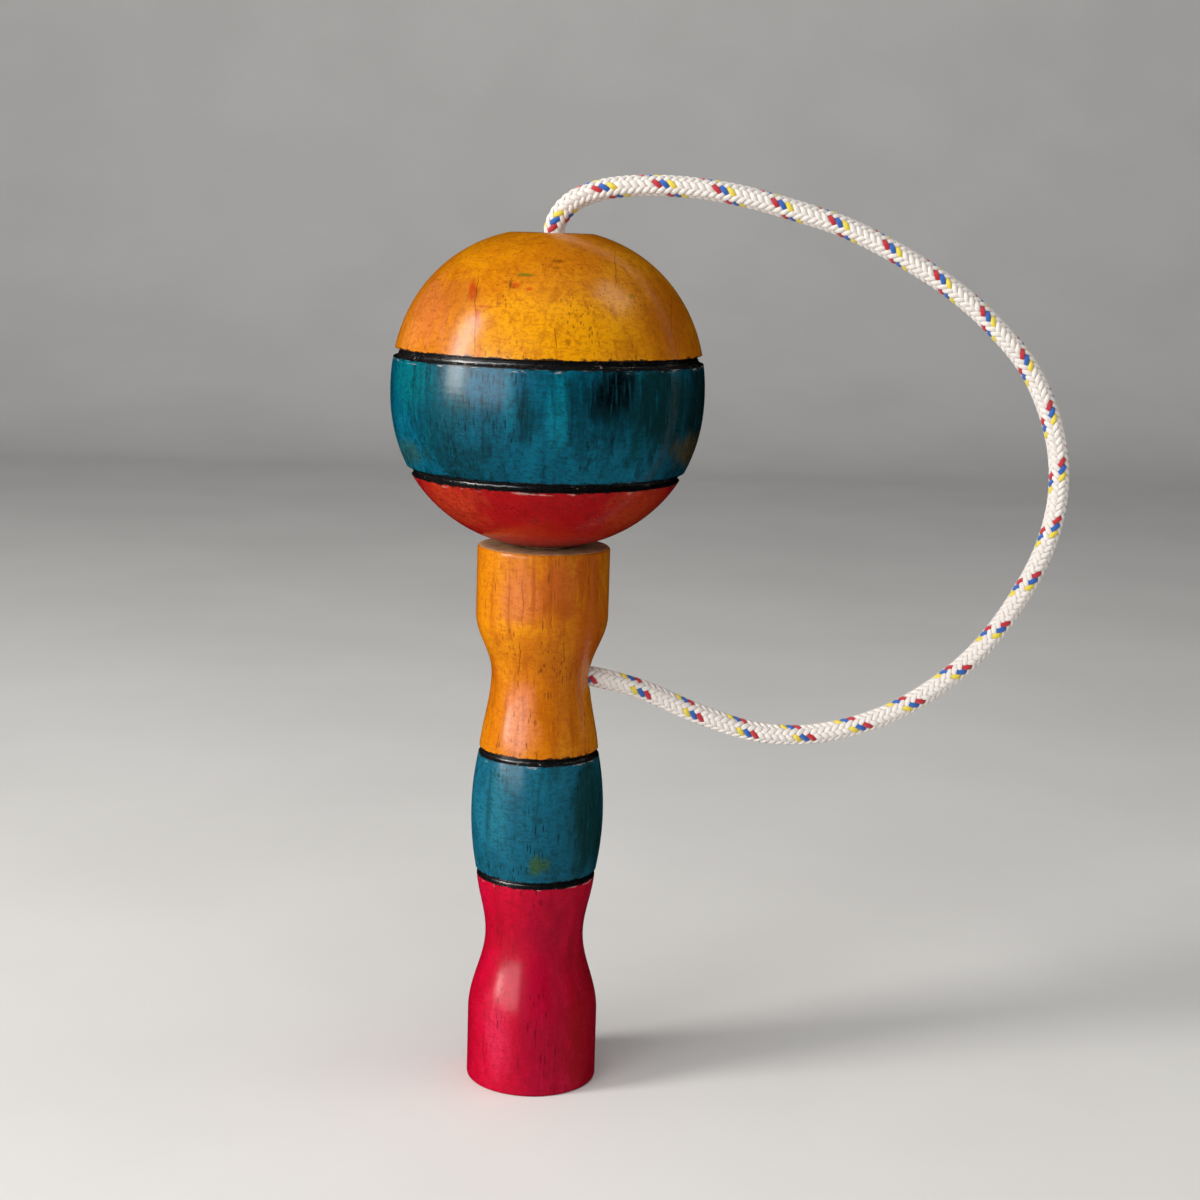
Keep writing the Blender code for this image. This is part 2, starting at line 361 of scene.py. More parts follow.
# The handle's outline, as its CAD solid has it
FOOT_RADIUS = 15.1 * MM
FOOT_TOP = 16.0 * MM
LOWER_WAIST = (34.8 * MM, 11.4 * MM)
LOWER_COLLAR = (51.0 * MM, 13.75 * MM)
BARREL_BELLY = (64.0 * MM, 15.2 * MM)
BARREL_CURVE = 70.0 * MM
UPPER_COLLAR = (76.0 * MM, 13.8 * MM)
UPPER_WAIST = (96.5 * MM, 11.2 * MM)
SHOULDER_RADIUS = 15.0 * MM
SHOULDER_FOOT = 110.3 * MM
RIM_ROUND = 0.6 * MM
RIM_TURNS = (radians(30), radians(60))
HANDLE_GROOVES = (50.0 * MM, 78.7 * MM)
HANDLE_GROOVE_WIDTH = 1.6 * MM
HANDLE_GROOVE_DEPTH = 0.9 * MM
BORE_RADIUS = 5.6 * MM
BORE_BOTTOM = 88.0 * MM
CORD_EXIT_HEIGHT = 96.0 * MM

# The ball's outline about its middle
BALL_RADIUS = 35.0 * MM
BALL_UPPER = (35.9 * MM, 2.13)
BALL_LOWER = (34.8 * MM, 2.1)
BALL_FLAT = 34.9 * MM
BALL_GROOVES = (8.2 * MM, -17.9 * MM)
BALL_GROOVE_WIDTH = 2.0 * MM
BALL_GROOVE_DEPTH = 1.2 * MM
CATCH_RADIUS = 6.5 * MM
CATCH_DEPTH = 34.0 * MM
CORD_HOLE_RADIUS = 2.9 * MM
BALL_CENTRE = BALL_TOP - BALL_FLAT

PEG_RADIUS = 5.3 * MM
PEG_TAPER = 0.2 * MM           # what the radius loses between the handle's end and the nose

# How finely the pieces are turned
BALL_SIDES, HANDLE_SIDES, PEG_SIDES, BIT_SIDES = 256, 192, 96, 64
BALL_RINGS, HANDLE_RINGS = 220, 250
GROOVE_STEPS = 12
GROOVE_CLEAR = 0.62            # of a groove's width: the side's own rings keep this far from its middle
LIP_PLACE = 0.501              # of a groove's width: where the side's radius is read for its lips
SHARP_ANGLE = radians(50)

# Irregularities that the lathe and the brush leave
TOOL_MARKS = 2400              # waves per metre of height
TOOL_MARK_SHARE = 0.35
SLOW_WAVES = 60                # waves per metre of height
LIP_WAVES = 900                # waves per metre of height
LIP_RAGGEDNESS = 0.16 * MM
BALL_RIPPLE, HANDLE_RIPPLE, PEG_RIPPLE = 0.05 * MM, 0.04 * MM, 0.03 * MM

AMBER, BLUE, RED, BLACK, BARE = range(5)


def turned(name, outline, sides, through, materials, ripple):
    """Spin (radius, height, band) points into a mesh whose faces take their band's material.

    A piece with a hole through it closes its outline on itself, and any other gets flat end faces.
    """
    rings = len(outline)
    vertices = []
    for radius, height, _band in outline:
        for side in range(sides):
            angle = 2 * pi * side / sides
            out, up = ripple(radius, height, angle)
            vertices.append((out * cos(angle), out * sin(angle), up))
    faces, bands = [], []
    for ring in range(rings if through else rings - 1):
        upper = (ring + 1) % rings
        for side in range(sides):
            after = (side + 1) % sides
            faces.append((
                ring * sides + side, ring * sides + after, upper * sides + after, upper * sides + side,
            ))
            bands.append(outline[upper][2])
    if not through:
        faces.append(tuple(reversed(range(sides))))
        bands.append(outline[0][2])
        faces.append(tuple(range((rings - 1) * sides, rings * sides)))
        bands.append(outline[-1][2])
    mesh = bpy.data.meshes.new(name)
    mesh.from_pydata(vertices, [], faces)
    for material in materials:
        mesh.materials.append(material)
    mesh.polygons.foreach_set("material_index", bands)
    mesh.validate()
    mesh.shade_smooth()
    mesh.set_sharp_from_angle(angle=SHARP_ANGLE)
    piece = bpy.data.objects.new(name, mesh)
    bpy.context.collection.objects.link(piece)
    return piece


def lathe_ripple(seed, amount, groove_heights=(), groove_width=0.0):
    """Fine tool marks round the piece, and ragged groove lips."""
    def ripple(radius, height, angle):
        mark = noise.noise(Vector((seed, 0, height * TOOL_MARKS)))
        slow = noise.noise(Vector((cos(angle) * 1.4 + seed, sin(angle) * 1.4, height * SLOW_WAVES)))
        out = radius + amount * (TOOL_MARK_SHARE * mark + slow)
        up = height
        for groove in groove_heights:
            near = max(0.0, 1 - abs(height - groove) / groove_width)
            if near > 0:
                rag = noise.noise(Vector((cos(angle) * 26 + seed, sin(angle) * 26, height * LIP_WAVES)))
                up += near * LIP_RAGGEDNESS * rag
        return out, up
    return ripple


def bands_of(height, edges):
    """Index of the band that a height lies in, counted from the bottom."""
    return sum(height > edge for edge in edges)


def handle_radius(height):
    def ease(low, high):
        share = min(max((height - low[0]) / (high[0] - low[0]), 0), 1)
        return low[1] + (high[1] - low[1]) * (1 - cos(pi * share)) / 2

    if height < LOWER_WAIST[0]:
        return ease((FOOT_TOP, FOOT_RADIUS), LOWER_WAIST)
    if height < HANDLE_GROOVES[0]:
        return ease(LOWER_WAIST, LOWER_COLLAR)
    if height < HANDLE_GROOVES[1]:
        return BARREL_BELLY[1] - (height - BARREL_BELLY[0]) ** 2 / (2 * BARREL_CURVE)
    if height < UPPER_WAIST[0]:
        return ease(UPPER_COLLAR, UPPER_WAIST)
    return ease(UPPER_WAIST, (SHOULDER_FOOT, SHOULDER_RADIUS))


def ball_radius(height):
    half, power = BALL_UPPER if height > 0 else BALL_LOWER
    return BALL_RADIUS * max(1 - (abs(height) / half) ** power, 0) ** (1 / power)


def side_outline(radius_at, heights, grooves, width, depth):
    """(radius, height, band) up a side in three stains, with rounded grooves whose faces are black."""
    stains = (RED, BLUE, AMBER)
    points = []
    for height in heights:
        if all(abs(height - groove) >= GROOVE_CLEAR * width for groove in grooves):
            points.append((radius_at(height), height, stains[bands_of(height, grooves)]))
    for groove in grooves:
        for step in range(GROOVE_STEPS + 1):
            across = step / GROOVE_STEPS - 0.5
            height = groove + across * width
            lip = groove + (LIP_PLACE if across > 0 else -LIP_PLACE) * width
            down = 1 - (2 * abs(across)) ** 3
            band = stains[bands_of(height, grooves)] if step in (0, GROOVE_STEPS) else BLACK
            points.append((radius_at(lip) - down * depth, height, band))
    return sorted(points, key=lambda point: point[1])


def handle_outline():
    heights = np.linspace(RIM_ROUND, HANDLE_TOP - RIM_ROUND, HANDLE_RINGS)
    side = side_outline(handle_radius, heights, HANDLE_GROOVES, HANDLE_GROOVE_WIDTH, HANDLE_GROOVE_DEPTH)
    foot = [(radius, 0, BARE) for radius in (3 * MM, 7 * MM, 11 * MM, FOOT_RADIUS - RIM_ROUND)]
    foot += [(FOOT_RADIUS - RIM_ROUND * (1 - sin(turn)), RIM_ROUND * (1 - cos(turn)), RED)
             for turn in RIM_TURNS]
    rim = [(SHOULDER_RADIUS - RIM_ROUND * (1 - cos(turn)), HANDLE_TOP - RIM_ROUND * (1 - sin(turn)), AMBER)
           for turn in RIM_TURNS]
    rim += [(radius, HANDLE_TOP, BARE)
            for radius in np.linspace(SHOULDER_RADIUS - RIM_ROUND, BORE_RADIUS + 0.2 * MM, 8)]
    bore = [(BORE_RADIUS, HANDLE_TOP - 0.2 * MM, BARE), (BORE_RADIUS, BORE_BOTTOM, BARE),
            (1 * MM, BORE_BOTTOM, BARE)]
    return foot + side + rim + bore


def ball_outline():
    seat = BALL_BOTTOM - BALL_CENTRE
    roof = seat + CATCH_DEPTH
    low = -np.arcsin(min(-seat / BALL_LOWER[0], 1))
    high = np.arcsin(BALL_FLAT / BALL_UPPER[0])
    heights = [sin(angle) * (BALL_UPPER if angle > 0 else BALL_LOWER)[0]
               for angle in np.linspace(low, high, BALL_RINGS)]
    side = side_outline(ball_radius, heights[1:-1], BALL_GROOVES, BALL_GROOVE_WIDTH, BALL_GROOVE_DEPTH)
    mouth = [(CATCH_RADIUS, seat + 0.8 * MM, BARE), (CATCH_RADIUS + 0.2 * MM, seat, BARE)]
    pole = [(radius, BALL_FLAT, AMBER)
            for radius in np.linspace(ball_radius(BALL_FLAT), CORD_HOLE_RADIUS + 0.4 * MM, 12)]
    pole += [(CORD_HOLE_RADIUS, BALL_FLAT - 0.4 * MM, BARE)]
    hole = [(CORD_HOLE_RADIUS, roof, BARE), (CATCH_RADIUS, roof, BARE)]
    return [(radius, height + BALL_CENTRE, band) for radius, height, band in mouth + side + pole + hole]


def on_ball(across, height):
    """A point on the front of the ball, in millimetres, from its offset to the side and from the middle."""
    radius = ball_radius(height * MM) / MM
    return across, -(max(radius ** 2 - across ** 2, 0)) ** 0.5, height + BALL_CENTRE / MM


def on_handle(across, height):
    """A point on the front of the handle, in millimetres, from its offset to the side and its height."""
    radius = handle_radius(height * MM) / MM
    return across, -(max(radius ** 2 - across ** 2, 0)) ** 0.5, height


PORE_BROWN = (0.16, 0.035, 0.002)

# (height, half width) of each groove, in millimetres
BALL_RIMS = [(BALL_CENTRE / MM + height / MM, BALL_GROOVE_WIDTH / 2 / MM) for height in BALL_GROOVES]
HANDLE_RIMS = [(height / MM, HANDLE_GROOVE_WIDTH / 2 / MM) for height in HANDLE_GROOVES]

ball_amber = stained_wood(
    "ball_amber_stain", (0.50, 0.150, 0.001), (0.64, 0.25, 0.002), (0.30, 0.070, 0.001), PORE_BROWN,
    BALL_RIMS,
    patches=(
        (on_ball(3, 15), (21, 16, 13), (0.69, 0.285, 0.0), 0.95),
        (on_ball(-26, 18), (7, 12, 9), (0.50, 0.13, 0.03), 0.8),
        (on_ball(-20, 22), (6, 9, 5), (0.36, 0.09, 0.012), 0.55),
        (on_ball(-30, 12), (4, 9, 5), (0.60, 0.19, 0.03), 0.7),
        # painted shade: the cap's right side, away from the window, darkened in the colour
        (on_ball(26, 18), (9, 14, 13), (0.36, 0.088, 0.0), 0.85),
        (on_ball(17, 12), (3.5, 8, 2.6), (0.42, 0.13, 0.0), 0.5),
        (on_ball(6, 24.5), (12, 8, 3), (0.52, 0.17, 0.0), 0.6),
        (on_ball(-16.2, 22.5), (0.9, 4, 2.8), (0.42, 0.03, 0.004), 0.9),
        (on_ball(-15.2, 17.5), (0.8, 4, 2.6), (0.44, 0.05, 0.004), 0.75),
        (on_ball(-14, 19.5), (2.6, 5, 0.35), (0.42, 0.06, 0.004), 0.6),
        (on_ball(-7.4, 24), (1.3, 4, 0.7), (0.50, 0.05, 0.004), 0.85),
        (on_ball(-4.4, 23.4), (0.9, 3, 0.4), (0.54, 0.05, 0.004), 0.8),
        (on_ball(-5.4, 26.2), (2.2, 4, 0.45), (0.10, 0.13, 0.005), 0.85),
        (on_ball(-8.4, 24.2), (0.4, 3, 1.2), (0.06, 0.02, 0.005), 0.8),
        (on_ball(1.4, 29.2), (1.8, 4, 0.35), (0.14, 0.04, 0.0), 0.7),
        (on_ball(1.2, 27.8), (0.8, 3, 0.35), (0.14, 0.04, 0.0), 0.6),
        (on_ball(4, 13), (0.8, 3, 0.7), (0.30, 0.08, 0.0), 0.7),
        (on_ball(17, 22.5), (0.7, 3, 0.5), (0.12, 0.10, 0.0), 0.6),
    ),
    cracks=((-15.5, 169, 188, 0.17), (13.5, 184, 193, 0.14), (1.2, 172, 177, 0.11), (26, 174, 184, 0.11)),
)
ball_blue = stained_wood(
    "ball_blue_stain", (0.0, 0.072, 0.120), (0.001, 0.15, 0.23), (0.001, 0.016, 0.020), (0.0, 0.008, 0.010),
    BALL_RIMS,
    patches=(
        # painted shade: the band's right side darkened in the colour
        (on_ball(24, 0), (11, 18, 13), (0.001, 0.018, 0.017), 0.9),
        (on_ball(13.0, 0), (7, 9, 9), (0.0, 0.010, 0.014), 0.9),
        (on_ball(13.5, 3), (4.5, 9, 6), (0.0, 0.002, 0.003), 0.97),
        # painted shade: the band's far right edge darkened in the colour
        (on_ball(33, -2), (4, 14, 14), (0.003, 0.008, 0.004), 0.85),
        (on_ball(-29, 3), (6, 14, 7), (0.0, 0.12, 0.14), 0.8),
        (on_ball(-20, 0), (4, 9, 8), (0.0, 0.055, 0.070), 0.6),
        # painted highlight: a soft bluish glint left of the middle, lightened in the colour
        (on_ball(-11, 4), (7, 9, 5), (0.002, 0.11, 0.21), 0.6),
        (on_ball(2.5, -2), (2.4, 9, 9), (0.0, 0.15, 0.21), 0.8),
        (on_ball(-4, -3), (2.6, 9, 6), (0.0, 0.028, 0.040), 0.75),
        (on_ball(-8, 1), (1.6, 8, 7), (0.0, 0.13, 0.19), 0.6),
        (on_ball(7, -3), (2.2, 8, 10), (0.0, 0.026, 0.040), 0.7),
        (on_ball(-25, -6), (2.2, 8, 8), (0.0, 0.038, 0.045), 0.6),
        (on_ball(18.5, -6), (1.6, 8, 8), (0.0, 0.060, 0.075), 0.5),
        (on_ball(-18, -12), (10, 12, 3.5), (0.001, 0.035, 0.050), 0.8),
        (on_ball(31, -11), (5, 12, 4), (0.09, 0.05, 0.002), 0.7),
        (on_ball(-30, -13), (5, 12, 3), (0.03, 0.06, 0.02), 0.5),
    ),
    streak_share=0.7, blotch_share=0.9,
)
ball_red = stained_wood(
    "ball_red_stain", (0.33, 0.002, 0.004), (0.35, 0.006, 0.007), (0.21, 0.002, 0.003), (0.08, 0.0, 0.0),
    BALL_RIMS,
    patches=(
        (on_ball(-20, -24), (9, 14, 8), (0.44, 0.045, 0.010), 0.6),
        (on_ball(20, -25), (9, 14, 8), (0.40, 0.045, 0.006), 0.7),
    ),
)
handle_amber = stained_wood(
    "handle_amber_stain", (0.53, 0.15, 0.001), (0.64, 0.24, 0.002), (0.33, 0.065, 0.001), PORE_BROWN,
    HANDLE_RIMS,
    patches=(
        # painted light: the shoulder's left side, toward the window, lightened in the colour
        (on_handle(-11, 112), (6, 10, 24), (0.60, 0.20, 0.001), 0.8),
        # painted shade: the shoulder's right side, away from the window, darkened in the colour
        (on_handle(11, 112), (5, 10, 20), (0.40, 0.062, 0.0), 0.8),
        (on_handle(2.5, 118), (5, 10, 8), (0.44, 0.085, 0.012), 0.85),
        (on_handle(4, 114), (4, 8, 3), (0.38, 0.075, 0.004), 0.7),
        (on_handle(3, 99), (2.5, 6, 9), (0.44, 0.105, 0.0), 0.6),
        (on_handle(-4, 121), (3, 8, 5), (0.56, 0.15, 0.02), 0.6),
        (on_handle(-5, 116.5), (4.5, 8, 6), (0.56, 0.15, 0.03), 0.85),
        (on_handle(-4.6, 92), (3.4, 7, 4), (0.60, 0.17, 0.05), 0.85),
        (on_handle(-4.8, 85), (4.2, 8, 6), (0.60, 0.18, 0.055), 0.9),
        # painted highlight: a thin light band on the left under the shoulder's edge
        (on_handle(-7, 109), (9, 8, 1.8), (0.72, 0.27, 0.0), 0.5),
    ),
    cracks=(
        (-4.7, 97, 107, 0.15), (-4.4, 108, 122, 0.10), (5, 101, 107, 0.14), (2.2, 109, 113, 0.12),
        (-5, 95, 97, 0.2),
    ),
    streak_share=0.65,
)
handle_blue = stained_wood(
    "handle_blue_stain", (0.004, 0.088, 0.145), (0.010, 0.14, 0.21), (0.003, 0.028, 0.030),
    (0.0, 0.012, 0.014), HANDLE_RIMS,
    patches=(
        # painted shade: the barrel's right side darkened in the colour
        (on_handle(12, 65), (5, 12, 18), (0.004, 0.026, 0.020), 0.85),
        (on_handle(1, 55), (2.6, 6, 2.6), (0.035, 0.085, 0.015), 0.85),
        # painted highlight: the barrel's left side lightened in the colour
        (on_handle(-9, 66), (3, 8, 10), (0.012, 0.15, 0.21), 0.6),
    ),
)
handle_crimson = stained_wood(
    "handle_crimson_stain", (0.46, 0.0, 0.022), (0.56, 0.004, 0.050), (0.29, 0.0, 0.010), (0.12, 0.0, 0.004),
    HANDLE_RIMS,
    patches=(
        (on_handle(2, 20), (7, 12, 34), (0.32, 0.0, 0.020), 0.9),
        # painted shade: the foot's right side darkened in the colour
        (on_handle(12, 18), (5, 12, 28), (0.27, 0.002, 0.005), 0.8),
        # painted highlight: a pinkish light patch on the foot's left, lightened in the colour
        (on_handle(-8, 14), (3.5, 9, 10), (0.58, 0.020, 0.07), 0.6),
    ),
    cracks=((1, 8, 20, 0.09), (-11, 5, 15, 0.09), (-3, 6, 12, 0.09)),
)
black = black_lacquer("black_line")
bare = bare_wood("bare_wood")

ball = turned(
    "turned_ball", ball_outline(), BALL_SIDES, True, (ball_amber, ball_blue, ball_red, black, bare),
    lathe_ripple(3.0, BALL_RIPPLE, [BALL_CENTRE + groove for groove in BALL_GROOVES], BALL_GROOVE_WIDTH),
)
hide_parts("ball")
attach(ball, "ball")

handle = turned(
    "turned_handle", handle_outline(), HANDLE_SIDES, False,
    (handle_amber, handle_blue, handle_crimson, black, bare),
    lathe_ripple(8.0, HANDLE_RIPPLE, HANDLE_GROOVES, HANDLE_GROOVE_WIDTH),
)


def drill_cord_hole(piece):
    """Drill the hole in the upper waist that the cord leaves by, with a softened rim."""
    surface = handle_radius(CORD_EXIT_HEIGHT)
    rim_radius = CORD_HOLE_RADIUS + 0.5 * MM
    outline = [
        (CORD_HOLE_RADIUS, 3 * MM, 0), (CORD_HOLE_RADIUS, surface - 0.8 * MM, 0),
        (rim_radius, surface, 0), (rim_radius, surface + 3 * MM, 0),
    ]
    bit = turned(
        "cord_hole_bit", outline, BIT_SIDES, False, (bare,), lambda radius, height, angle: (radius, height),
    )
    bit.matrix_world = Matrix.Translation((0, 0, CORD_EXIT_HEIGHT)) @ Matrix.Rotation(pi / 2, 4, "Y")
    cut = piece.modifiers.new("cord hole", "BOOLEAN")
    cut.object = bit
    cut.operation = "DIFFERENCE"
    cut.solver = "EXACT"
    cut.material_mode = "TRANSFER"
    bpy.context.view_layer.update()
    drilled = bpy.data.meshes.new_from_object(piece.evaluated_get(bpy.context.evaluated_depsgraph_get()))
    piece.modifiers.clear()
    piece.data = drilled
    drilled.set_sharp_from_angle(angle=SHARP_ANGLE)
    bpy.data.objects.remove(bit)


drill_cord_hole(handle)
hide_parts("handle")
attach(handle, "handle")


def peg_outline():
    low, top = node_height("catch_peg")
    points = [
        (1 * MM, low), (3 * MM, low), (PEG_RADIUS - 0.5 * MM, low), (PEG_RADIUS, low + 0.5 * MM),
    ]
    nose = PEG_RADIUS * 0.75
    nose_foot = top - nose
    points += [(PEG_RADIUS - PEG_TAPER * share, HANDLE_TOP + (nose_foot - HANDLE_TOP) * share)
               for share in np.linspace(0, 1, 10)]
    points += [((PEG_RADIUS - PEG_TAPER) * cos(turn), nose_foot + nose * sin(turn))
               for turn in np.linspace(0.1, pi / 2 - 0.15, 14)]
    return [(radius, height, 0) for radius, height in points]


peg = turned("turned_peg", peg_outline(), PEG_SIDES, False, (bare,), lathe_ripple(5.0, PEG_RIPPLE))
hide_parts("catch_peg")
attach(peg, "handle")


# ---------------------------------------------------------------- cord

# The cord's route in millimetres, x and z, as the CAD part has it
CORD_ROUTE = (
    (0, 160.3), (0, 172), (0, 184), (0, 193), (1.5, 199.2), (6, 203.4), (14, 205.8), (26, 206.4),
    (39, 205.2), (52, 202.3), (65, 198.5), (77, 193), (89, 186), (99, 178), (108, 168), (114, 155),
    (116, 142), (114, 129), (108.5, 116.5), (100.5, 104.5), (90.5, 95.2), (78.5, 88), (64, 83.8),
    (50, 83.8), (36, 87.9), (23.5, 93), (13, 95.7), (8.6, 96), (5.3, 96),
)
CORD_DIAMETER = 4.8 * MM
YARNS = 8                       # in each direction
BRAID_LEAD = 13.12 * MM         # length of one turn of a yarn round the cord
SAMPLES_PER_LEAD = 32
BRAID_MIDDLE = 1.77 * MM        # the radius that the yarns weave in and out of
WEAVE_HEIGHT = 0.24 * MM
YARN_HALF_WIDTH = 0.62 * MM
YARN_HALF_THICKNESS = 0.39 * MM
YARN_CORNERS = 8
CORE_SHARE = 0.9                # the core's radius as a share of BRAID_MIDDLE
CORE_CORNERS = 12
CORE_DEPTH = 3                  # in weave heights: the core is painted with the creases' shade, as the bottom of a crease
TRACER_SHIFT = 6.0 * MM         # moves the coloured yarns along the cord

FIBRES_ALONG, FIBRES_ACROSS = 1.6, 9.0      # per millimetre of cord, and across a yarn
FIBRE_DEPTH = 0.03 * MM
FUZZ_DEPTH = 0.05 * MM
YARN_SHEEN = 0.3

KNOT_POINTS = 36
KNOT_REACH, KNOT_SWING = 2.55 * MM, 1.05 * MM
KNOT_HEIGHT = 1.9 * MM
KNOT_CORD_DIAMETER = 3.0 * MM


def smooth_route(knots, step):
    """Points on the Catmull-Rom curve through the route's points, about a step apart, and how far along."""
    knots = [2 * knots[0] - knots[1], *knots, 2 * knots[-1] - knots[-2]]
    fine = []
    for before, start, end, after in zip(knots, knots[1:], knots[2:], knots[3:]):
        for share in np.linspace(0, 1, 20, endpoint=False):
            fine.append(0.5 * (
                2 * start + (end - before) * share
                + (2 * before - 5 * start + 4 * end - after) * share ** 2
                + (3 * start - before - 3 * end + after) * share ** 3
            ))
    fine = np.array([*fine, knots[-2]])
    run = np.concatenate(([0], np.cumsum(np.linalg.norm(np.diff(fine, axis=0), axis=1))))
    stops = np.linspace(0, run[-1], round(run[-1] / step) + 1)
    return np.stack([np.interp(stops, run, fine[:, axis]) for axis in range(3)], axis=1), stops


def carried_frames(points):
    """Two cross directions at each point, carried along the line without twist."""
    tangents = np.gradient(points, axis=0)
    tangents /= np.linalg.norm(tangents, axis=1)[:, None]
    side = np.array([0.0, 1.0, 0.0])
    sides = []
    for tangent in tangents:
        side = side - tangent * np.dot(side, tangent)
        side /= np.linalg.norm(side)
        sides.append(side)
    sides = np.array(sides)
    return sides, np.cross(tangents, sides)


def braid_material(name, colour, shade_and_soil):
    """Twisted fibres, with shade painted into the fibre grooves and the creases between yarns, and light
    soil.

    The mesh's "yarn" attribute holds the place along the cord, the place across the yarn and its height.
    """
    shade = Shading(name)
    strand = shade.tree.nodes.new("ShaderNodeAttribute")
    strand.attribute_name = "yarn"
    along, across, height = shade.split(strand.outputs["Vector"])
    slant = shade.math(
        "ADD", shade.math("MULTIPLY", along, FIBRES_ALONG), shade.math("MULTIPLY", across, FIBRES_ACROSS),
    )
    fibres = shade.math("SINE", shade.math("MULTIPLY", slant, 2 * pi))
    fuzz = shade.noise((2600, 2600, 2600), detail=4, roughness=0.7)
    soil = shade.noise((120, 120, 120), detail=2)
    # painted shade: the fibre grooves darkened towards the shade tone
    colour = shade.mix(shade.step(fibres, -0.2, -1.0, 0, 0.45), colour, shade_and_soil)
    # soil: random dirt in the same darker tone
    colour = shade.mix(shade.step(soil, 0.5, 0.75, 0, 0.16), colour, shade_and_soil)
    # painted shade: the yarns' low sides and the core darkened deeply, as shade in the creases
    crease = tuple(value * 0.45 for value in shade_and_soil)
    colour = shade.mix(shade.step(height, 0.68, 0.05, 0, 0.95), colour, crease)
    normal = shade.bump(fibres, FIBRE_DEPTH)
    normal = shade.bump(fuzz, FUZZ_DEPTH, normal)
    shade.shader.inputs["Sheen Weight"].default_value = YARN_SHEEN
    return shade.finish(colour, shade.step(fuzz, 0.3, 0.7, 0.5, 0.7), normal)


# each yarn: its colour, then the darker tone used for painted shade and for soil
YARN_MATERIALS = (
    braid_material("white_yarn", (0.98, 0.92, 0.86), (0.66, 0.56, 0.50)),
    braid_material("red_yarn", (0.62, 0.008, 0.025), (0.34, 0.004, 0.012)),
    braid_material("blue_yarn", (0.006, 0.13, 0.56), (0.003, 0.05, 0.26)),
    braid_material("yellow_yarn", (0.95, 0.76, 0.07), (0.66, 0.46, 0.03)),
)
WHITE, RED_TRACER, BLUE_TRACER, YELLOW_TRACER = range(4)
TRACERS = {0: YELLOW_TRACER, 1: BLUE_TRACER, 2: RED_TRACER}


def braid(name, knots, diameter):
    """A two-over, two-under braid of flat yarns round a core, on the smooth line through the knots."""
    points, run = smooth_route(knots, BRAID_LEAD / SAMPLES_PER_LEAD)
    sides, others = carried_frames(points)
    scale = diameter / CORD_DIAMETER
    middle = BRAID_MIDDLE * scale
    weave = WEAVE_HEIGHT * scale
    half_thick = YARN_HALF_THICKNESS * scale
    vertices, faces, bands, yarn_places = [], [], [], []

    def sweep(lines, radials, lifts, band, wide, thick, corners):
        """Sweep an oval section along a line, wide across the surface and thin outwards."""
        base = len(vertices)
        ahead = np.gradient(lines, axis=0)
        ahead /= np.linalg.norm(ahead, axis=1)[:, None]
        across = np.cross(ahead, radials)
        across /= np.linalg.norm(across, axis=1)[:, None]
        for place, out, wise, lifted, travelled in zip(lines, radials, across, lifts, run):
            for corner in range(corners):
                angle = 2 * pi * corner / corners
                vertices.append(tuple(place + out * thick * sin(angle) + wise * wide * cos(angle)))
                height = (lifted + thick * sin(angle)) / (weave + thick)
                yarn_places.append((travelled / MM, cos(angle) * 0.5, height))
        for ring in range(len(lines) - 1):
            for corner in range(corners):
                after = (corner + 1) % corners
                low = base + ring * corners
                faces.append((low + corner, low + corners + corner, low + corners + after, low + after))
                bands.append(band)
        faces.append(tuple(base + corner for corner in range(corners)))
        top = base + (len(lines) - 1) * corners
        faces.append(tuple(top + corner for corner in reversed(range(corners))))
        bands.extend((band, band))

    for direction in (1, -1):
        for yarn in range(YARNS):
            turn = 2 * pi * (direction * (run + TRACER_SHIFT) / BRAID_LEAD + yarn / YARNS)
            radials = sides * np.cos(turn)[:, None] + others * np.sin(turn)[:, None]
            lift = direction * weave * np.cos(YARNS / 2 * (turn + pi / (2 * YARNS)))
            lines = points + radials * (middle + lift)[:, None]
            band = TRACERS.get(yarn, WHITE) if direction == 1 else WHITE
            sweep(lines, radials, lift, band, YARN_HALF_WIDTH * scale, half_thick, YARN_CORNERS)
    core = middle * CORE_SHARE
    sweep(points, sides, np.full(len(points), -CORE_DEPTH * weave), WHITE, core, core, CORE_CORNERS)

    mesh = bpy.data.meshes.new(name)
    mesh.from_pydata(vertices, [], faces)
    for material in YARN_MATERIALS:
        mesh.materials.append(material)
    mesh.polygons.foreach_set("material_index", bands)
    places = mesh.attributes.new("yarn", "FLOAT_VECTOR", "POINT")
    places.data.foreach_set("vector", np.array(yarn_places, dtype=np.float32).ravel())
    mesh.shade_smooth()
    piece = bpy.data.objects.new(name, mesh)
    bpy.context.collection.objects.link(piece)
    return piece, points, run[-1]


cord_knots = [np.array((x, 0, z)) * MM for x, z in CORD_ROUTE]
cord, cord_line, cord_length = braid("braided_cord", cord_knots, CORD_DIAMETER)


def tied_knot(name, node, body):
    """A tight three-lobed knot of the same braid, in the space of its CAD solid."""
    low, high = (np.array(corner) for corner in NODES[node])
    centre = (low + high) / 2
    lobes = []
    for turn in np.linspace(0, 2 * pi, KNOT_POINTS, endpoint=False):
        out = KNOT_REACH + KNOT_SWING * cos(3 * turn)
        lobes.append(centre + (out * cos(2 * turn), out * sin(2 * turn), KNOT_HEIGHT * sin(3 * turn)))
    piece, _line, _length = braid(name, lobes, KNOT_CORD_DIAMETER)
    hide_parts(node)
    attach(piece, body)
    return piece


ball_knot = tied_knot("tied_ball_knot", "ball_knot", "tether")
handle_knot = tied_knot("tied_handle_knot", "handle_knot", "handle")

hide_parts("cord")
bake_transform(cord)


# ---------------------------------------------------------------- room

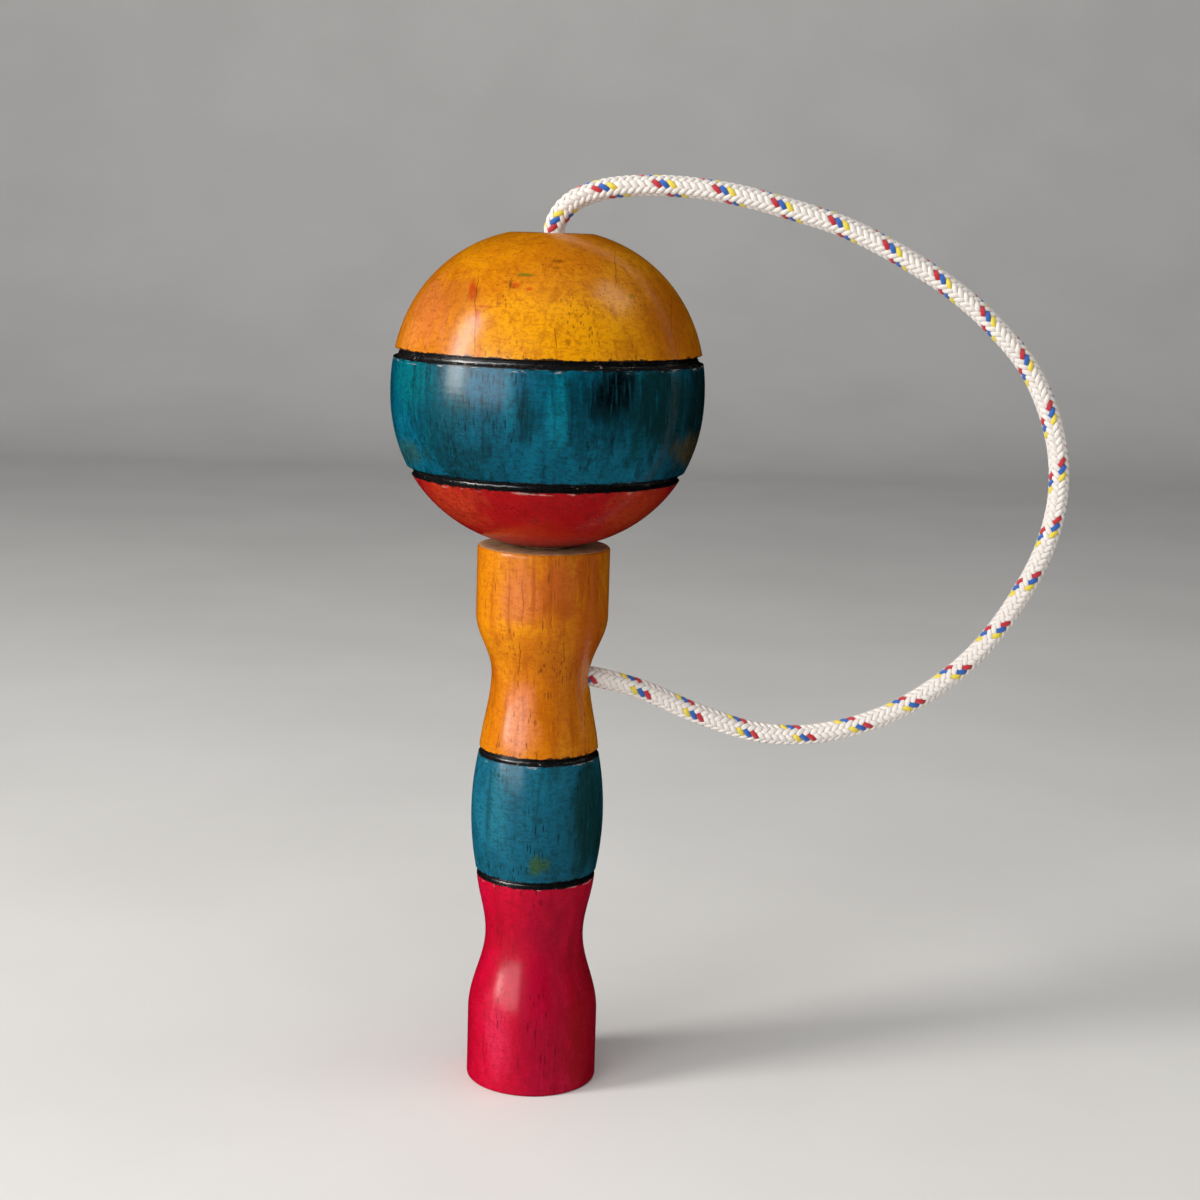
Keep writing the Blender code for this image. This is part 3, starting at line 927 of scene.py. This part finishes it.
FLOOR_HALF_WIDTH = 3.0
SWEEP_START = 1.2               # from here, behind the toy, the floor curves up into a wall
SWEEP_RADIUS = 0.6
WALL_HEIGHT = 3.0
LIGHTS_LOOK_AT = (0, 0, 0.11)   # about the toy's middle
WORLD_COLOUR = (0.90, 0.94, 1.0, 1)
WORLD_STRENGTH = 0.18


def floor_material():
    shade = Shading("pale_floor")
    grain = shade.noise((9, 9, 9), detail=4)
    colour = shade.mix(shade.step(grain, 0.3, 0.7), (0.77, 0.76, 0.74), (0.81, 0.80, 0.78))
    return shade.finish(colour, 0.55, shade.bump(grain, 0.2 * MM))


def add_floor():
    """A pale floor that sweeps up behind the toy, hidden from reflections so that the stains stay deep."""
    profile = [(-FLOOR_HALF_WIDTH, 0.0)]
    profile += [(SWEEP_START + SWEEP_RADIUS * sin(turn), SWEEP_RADIUS - SWEEP_RADIUS * cos(turn))
                for turn in np.linspace(0, pi / 2, 24)]
    profile.append((SWEEP_START + SWEEP_RADIUS, WALL_HEIGHT))
    vertices = [(side * FLOOR_HALF_WIDTH, y, z) for y, z in profile for side in (-1, 1)]
    faces = [(2 * i, 2 * i + 1, 2 * i + 3, 2 * i + 2) for i in range(len(profile) - 1)]
    mesh = bpy.data.meshes.new("floor")
    mesh.from_pydata(vertices, [], faces)
    mesh.materials.append(floor_material())
    mesh.shade_smooth()
    floor = bpy.data.objects.new("floor", mesh)
    bpy.context.collection.objects.link(floor)
    floor.visible_glossy = False


def add_light(name, direction, distance, size, power, colour, glossy=True):
    """A soft rectangular light that looks at the toy's middle from a direction."""
    middle = Vector(LIGHTS_LOOK_AT)
    data = bpy.data.lights.new(name, "AREA")
    data.shape = "RECTANGLE"
    data.size, data.size_y = size
    data.energy = power
    data.color = colour
    light = bpy.data.objects.new(name, data)
    bpy.context.collection.objects.link(light)
    light.location = middle + Vector(direction).normalized() * distance
    light.visible_glossy = glossy
    light.rotation_euler = (middle - light.location).to_track_quat("-Z", "Y").to_euler()


def add_world():
    world = bpy.data.worlds.new("studio")
    bpy.context.scene.world = world
    world.use_nodes = True
    background = world.node_tree.nodes["Background"]
    background.inputs["Color"].default_value = WORLD_COLOUR
    background.inputs["Strength"].default_value = WORLD_STRENGTH
    world.cycles_visibility.glossy = False


add_floor()
add_world()
add_light("window", (-0.84, -0.31, 0.36), 1.0, (0.24, 0.75), 9, (1.0, 0.97, 0.93))
add_light("window_edge", (-0.70, -0.70, 0.17), 1.1, (0.7, 0.5), 4.6, (0.97, 0.98, 1.0))
add_light("right_fill", (0.75, -0.62, 0.15), 1.2, (0.7, 0.7), 2.2, (1.0, 0.98, 0.95), glossy=False)
add_light("front_fill", (-0.45, -0.85, 0.35), 1.3, (0.9, 0.9), 3.6, (1.0, 0.98, 0.95), glossy=False)
add_light("overhead", (-0.1, -0.3, 1.0), 1.2, (0.9, 0.9), 3.8, (1.0, 0.98, 0.95), glossy=False)
add_light("top_glow", (0.55, -0.07, 0.83), 1.0, (0.32, 0.32), 0.9, (1.0, 0.95, 0.88))
bpy.context.scene.view_settings.view_transform = "Standard"
